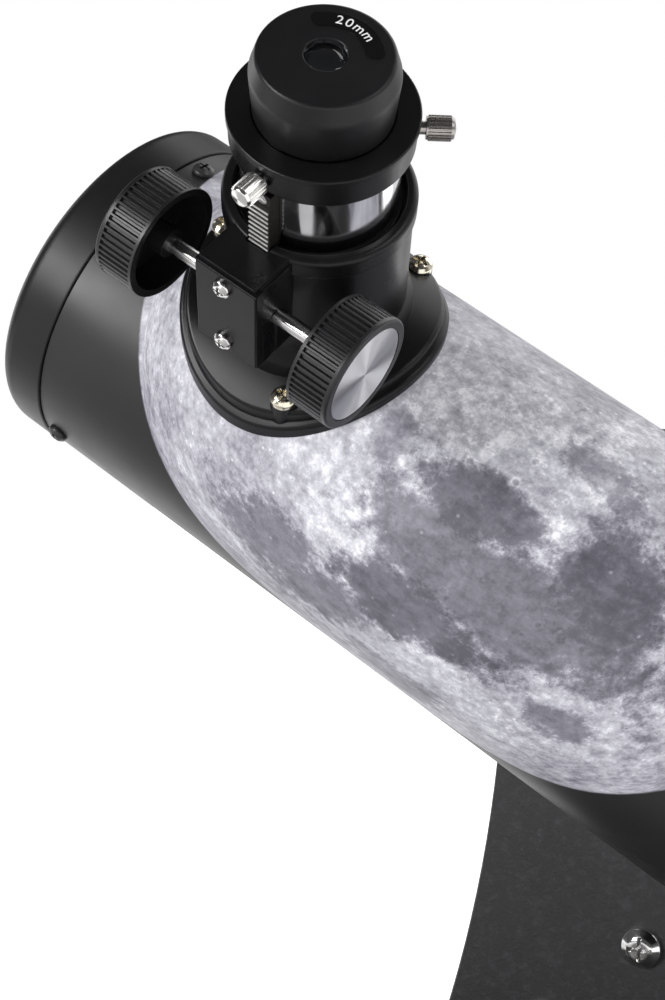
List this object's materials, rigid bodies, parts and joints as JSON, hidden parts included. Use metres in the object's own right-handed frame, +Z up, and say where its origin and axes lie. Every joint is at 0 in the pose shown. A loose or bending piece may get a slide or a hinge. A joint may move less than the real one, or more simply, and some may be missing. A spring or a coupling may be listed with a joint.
{
  "type": "dobsonian telescope",
  "caption": "Tabletop Dobsonian reflector: short tube with a rack-and-pinion focuser and eyepiece, carried by a side arm on a round swivel base.",
  "frame": {"origin": "centre of the whole object's box at floor level, with the tube at its stored tilt", "axes": "+Z up; the tube's mouth points up towards -X; +Y is the side arm's side; the focuser leans towards -Y"},
  "size_m": [0.2868, 0.22, 0.3423],
  "materials": {
    "laminated_board": "dark grey laminate, fine texture",
    "foot_rubber": "matte",
    "mirror_pad_rubber": "matte",
    "white_glide": "waxy",
    "nylon_bush": "satin",
    "zinc_fixings": "zinc plated",
    "chrome_screws": "polished",
    "black_screws": "satin black",
    "black_steel": "satin black powder coat",
    "knob_brass": "machined",
    "moon_print": "gloss printed wrap, greys on black",
    "ring_plastic": "satin moulded black",
    "inner_black": "flat black",
    "mirror_coating": "aluminised",
    "housing_plastic": "satin moulded black",
    "knob_plastic": "satin moulded black",
    "spun_aluminium": "spun, circular brushing",
    "turned_steel": "bright turned",
    "rack_steel": "machined",
    "drawtube_chrome": "polished",
    "thumbscrew_nickel": "knurled bright nickel",
    "holder_plastic": "satin moulded black",
    "eyepiece_plastic": "satin moulded black",
    "label_gloss": "gloss black",
    "lens_glass": "polished"
  },
  "bodies": {
    "base": {"ground_board": "laminated_board", "rubber_feet": "foot_rubber", "foot_screws": "zinc_fixings", "bearing_pads": "white_glide", "azimuth_bolt": "zinc_fixings", "azimuth_washers": "zinc_fixings", "azimuth_nut": "zinc_fixings"},
    "turntable": {"turntable_board": "laminated_board", "azimuth_bushing": "nylon_bush", "side_arm": "laminated_board", "arm_base_screws": "zinc_fixings", "arm_screws": "chrome_screws", "arm_nuts": "zinc_fixings", "arm_bracket": "black_steel", "bracket_screws": "zinc_fixings", "altitude_bushing": "nylon_bush", "friction_washer": "nylon_bush", "altitude_washer": "zinc_fixings"},
    "altitude_clamp": {"altitude_knob": "knob_plastic", "knob_insert": "knob_brass"},
    "telescope": {"optical_tube": "moon_print", "tube_hub": "ring_plastic", "hub_screws": "zinc_fixings", "altitude_bolt": "zinc_fixings", "front_ring": "ring_plastic", "front_ring_screws": "black_screws", "spider": "black_steel", "secondary_holder": "inner_black", "secondary_bolt": "zinc_fixings", "collimation_screws": "zinc_fixings", "secondary_mirror": "mirror_coating", "rear_cell": "ring_plastic", "rear_cell_screws": "black_screws", "mirror_pads": "mirror_pad_rubber", "primary_mirror": "mirror_coating", "mirror_clips": "inner_black", "mirror_clip_screws": "zinc_fixings", "focuser_housing": "housing_plastic", "focuser_liner": "inner_black", "focuser_screws": "chrome_screws", "focuser_nuts": "zinc_fixings", "pinion_cover": "housing_plastic", "pinion_cover_screws": "chrome_screws"},
    "pinion": {"pinion_shaft": "turned_steel", "pinion_gear": "knob_brass", "focus_knob_near": "knob_plastic", "focus_knob_far": "knob_plastic", "knob_discs": "spun_aluminium"},
    "focus_tube": {"drawtube": "drawtube_chrome", "focus_rack": "rack_steel", "rack_screws": "rack_steel", "eyepiece_holder": "holder_plastic"},
    "thumbscrew_side": {"eyepiece_thumbscrew_side": "thumbscrew_nickel"},
    "thumbscrew_knob_side": {"eyepiece_thumbscrew_knob_side": "thumbscrew_nickel"},
    "eyepiece": {"eyepiece_barrel": "drawtube_chrome", "eyepiece_body": "eyepiece_plastic", "eyepiece_label": "label_gloss", "eye_lens": "lens_glass", "field_lens": "lens_glass"}
  },
  "joints": [
    {"name": "azimuth_turn", "type": "hinge", "parent": "base", "child": "turntable", "pos_m": [0.02293, 0, 0.028], "axis": [0, 0, 1], "continuous": true},
    {"name": "altitude_tilt", "type": "hinge", "parent": "turntable", "child": "telescope", "pos_m": [0.02293, 0, 0.2], "axis": [0, 1, 0], "range_deg": [-31.1, 58.9]},
    {"name": "altitude_clamp_turn", "type": "hinge", "parent": "telescope", "child": "altitude_clamp", "pos_m": [0.02293, 0.08, 0.2], "axis": [0, 1, 0], "range_deg": [0, 360]},
    {"name": "focus_travel", "type": "slide", "parent": "telescope", "child": "focus_tube", "axis": [0.3652, -0.7071, 0.6055], "range_m": [-0.015, 0.017]},
    {"name": "focus_knob_turn", "type": "hinge", "parent": "telescope", "child": "pinion", "pos_m": [-0.03979, -0.07283, 0.27995], "axis": [0.8563, 0, -0.5165], "range_deg": [-216, 245]},
    {"name": "eyepiece_pull", "type": "slide", "parent": "focus_tube", "child": "eyepiece", "axis": [0.3652, -0.7071, 0.6055], "range_m": [0, 0.03]},
    {"name": "thumbscrew_side_turn", "type": "hinge", "parent": "focus_tube", "child": "thumbscrew_side", "pos_m": [-0.01707, -0.08004, 0.31761], "axis": [0.8992, 0.4363, -0.0329], "range_deg": [0, 720]},
    {"name": "thumbscrew_knob_side_turn", "type": "hinge", "parent": "focus_tube", "child": "thumbscrew_knob_side", "pos_m": [-0.01707, -0.08004, 0.31761], "axis": [-0.3712, -0.7071, -0.6019], "range_deg": [0, 720]}
  ],
  "couplings": [
    {"joint": "focus_knob_turn", "follows": "focus_travel", "rad_per_m": 250}
  ]
}
